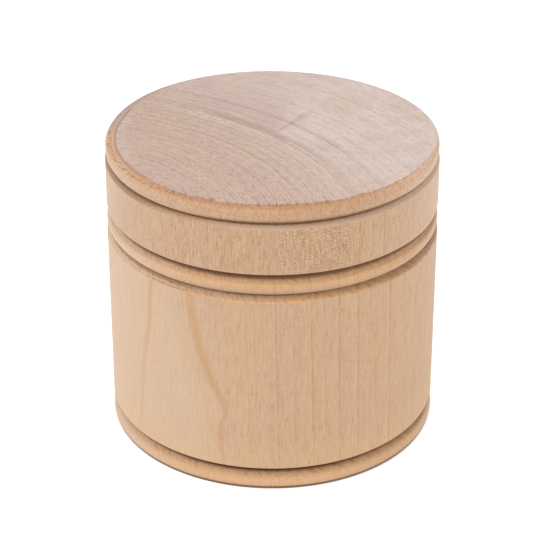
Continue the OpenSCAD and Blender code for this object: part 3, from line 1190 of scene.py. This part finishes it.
def wood(looks):
    """Bare sanded wood: one solid log with side grain and end grain, with light and shade
    painted into its colour.
    """
    material, n = node_material(looks.name)
    log = Log(n, looks)
    side, dashes = side_grain(n, log, looks)
    colour = n.mix(n.ease(n.size(log.up), *END_SLOPE), side, end_wood(n, log))
    turned = turned_share(n, log, looks.plain)
    colour = n.coat(colour, bead_wood(n, log, looks.bead), turned, share=0.9)
    colour = shoulder_wood(n, log, colour)
    colour = crown_wood(n, log, colour)
    colour = shaded_wood(n, log, looks, colour)
    colour = painted_back_shade(n, log, colour)
    top, speck, ticks = top_wood(n, log)
    faced = flat_share(n, log)
    colour = n.mix(faced, colour, top)
    colour = edge_wood(n, log, ticks, colour)
    height = n.add(n.times(dashes, FIBRE_DEPTH), n.times(speck, SPECK_DEPTH))
    bare_surface(n, colour, faced, height)
    return material


def turned_body():
    """The hollow body with its foot, beads and spigot."""
    columns = body_columns()
    body = turned_piece("turned_body", columns, body_zones(columns))
    looks = Looks(
        name="body_wood",
        lines=BODY_LINES,
        lines_z=30.0,
        streak=FRONT_STREAK,
        pale_tone=SIDE_PALE,
        pale=BODY_PALE,
        bead=BODY_BEAD,
        plain=(WALL_LOW, WALL_HIGH - WALL_EDGE),
        grooves=BODY_GROOVE_SHADE,
        shades=BODY_SHADES,
        figure=body_figure,
    )
    body.data.materials.append(wood(looks))
    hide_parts("box_body")
    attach(body, "body")


def turned_lid():
    """The lid with its band, disc and worn flat top."""
    columns, crease_row = lid_columns(np.random.default_rng(SEED))
    lid = turned_piece("turned_lid", columns, lid_zones(columns, crease_row))
    looks = Looks(
        name="lid_wood",
        lines=LID_LINES,
        lines_z=80.0,
        streak=None,
        pale_tone=BAND_PALE,
        pale=LID_PALE_AND_SHEEN,
        bead=LID_BEAD,
        plain=(SEAM_Z, BAND_HIGH),
        grooves=LID_GROOVE_SHADE,
        shades=LID_SHADES,
        figure=lid_figure,
    )
    lid.data.materials.append(wood(looks))
    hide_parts("lid")
    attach(lid, "lid")


# Floor, in metres: half its width and how far it lies under the box. Its glow as light
# and in the camera's sight, which leaves it white but for the contact shadow
FLOOR_HALF, FLOOR_DROP = 4.0, 0.02 * MM
FLOOR_BOUNCE, FLOOR_GLOW = 0.19, 0.55
# Strength of the white surroundings as light; the camera sees them as white
SKY_LIGHT = 0.38
WHITE = (1.0, 1.0, 1.0, 1.0)
# Soft boxes: name, place in metres and power in watts; and what they face
LAMPS = (
    ("left_box", (-0.66, -0.42, 0.66), 4.1),
    ("right_box", (0.72, -0.45, 0.32), 2.2),
    ("top_box", (0.0, 0.0, 0.9), 2.85),
)
LAMP_TARGET = (0.0, 0.0, 0.04)
# Camera as fitted to the photo's turned lines: width of the image, focal length and
# sideways shift in its pixels, distance and height of the aim in metres, elevation
IMAGE_SIZE, FOCAL, SHIFT_X = 550.0, 2055.0, 2.6
DISTANCE, AIM_Z = 0.5445, 0.03885
ELEVATION = math.radians(29.22)


def floor_material():
    """Plain floor that the camera sees as white but for the contact shadow."""
    material, n = node_material("plain_floor")
    diffuse = n.new("ShaderNodeBsdfDiffuse")
    diffuse.inputs["Color"].default_value = (0.9, 0.9, 0.9, 1.0)
    glow = n.new("ShaderNodeEmission")
    glow.inputs["Color"].default_value = WHITE
    n.feed(glow.inputs["Strength"], n.ease(n.seen(), 0.0, 1.0, FLOOR_BOUNCE, FLOOR_GLOW))
    both = n.new("ShaderNodeAddShader")
    n.feed(both.inputs[0], diffuse.outputs[0])
    n.feed(both.inputs[1], glow.outputs[0])
    out = n.new("ShaderNodeOutputMaterial")
    n.feed(out.inputs["Surface"], both.outputs[0])
    return material


def studio_floor():
    """Large plain floor just under the box."""
    mesh = bpy.data.meshes.new("studio_floor")
    signs = ((-1, -1), (1, -1), (1, 1), (-1, 1))
    corners = [(x * FLOOR_HALF, y * FLOOR_HALF, -FLOOR_DROP) for x, y in signs]
    mesh.from_pydata(corners, [], [(0, 1, 2, 3)])
    floor = placed("studio_floor", mesh)
    mesh.materials.append(floor_material())


def face(thing, direction):
    """Turns a lamp or a camera so that it looks in a direction."""
    thing.rotation_mode = "QUATERNION"
    thing.rotation_quaternion = direction.to_track_quat("-Z", "Y")


def soft_box(name, place, power):
    """Square soft box that faces the box."""
    data = bpy.data.lights.new(name, "AREA")
    data.shape = "SQUARE"
    data.size = 0.6
    data.energy = power
    lamp = placed(name, data)
    lamp.location = place
    face(lamp, Vector(LAMP_TARGET) - Vector(place))


def studio_light():
    """Even white surroundings and soft boxes above and beside the box."""
    world = bpy.data.worlds.new("studio")
    bpy.context.scene.world = world
    world.use_nodes = True
    n = Nodes(world.node_tree)
    sky = n.new("ShaderNodeBackground")
    sky.inputs["Color"].default_value = WHITE
    n.feed(sky.inputs["Strength"], n.ease(n.seen(), 0.0, 1.0, SKY_LIGHT, 1.0))
    out = n.new("ShaderNodeOutputWorld")
    n.feed(out.inputs["Surface"], sky.outputs[0])
    for name, place, power in LAMPS:
        soft_box(name, place, power)


def photo_camera():
    """Camera at the photo's viewing angle."""
    back = Vector((0.0, -math.cos(ELEVATION), math.sin(ELEVATION)))
    data = bpy.data.cameras.new("photo_camera")
    data.sensor_width = 36.0
    data.lens = data.sensor_width * FOCAL / IMAGE_SIZE
    data.shift_x = SHIFT_X / IMAGE_SIZE
    data.clip_start = 0.01
    camera = placed("photo_camera", data)
    camera.location = Vector((0.0, 0.0, AIM_Z)) + back * DISTANCE
    face(camera, -back)
    bpy.context.scene.camera = camera


turned_body()
turned_lid()
studio_floor()
studio_light()
photo_camera()
bpy.context.scene.view_settings.view_transform = "Standard"
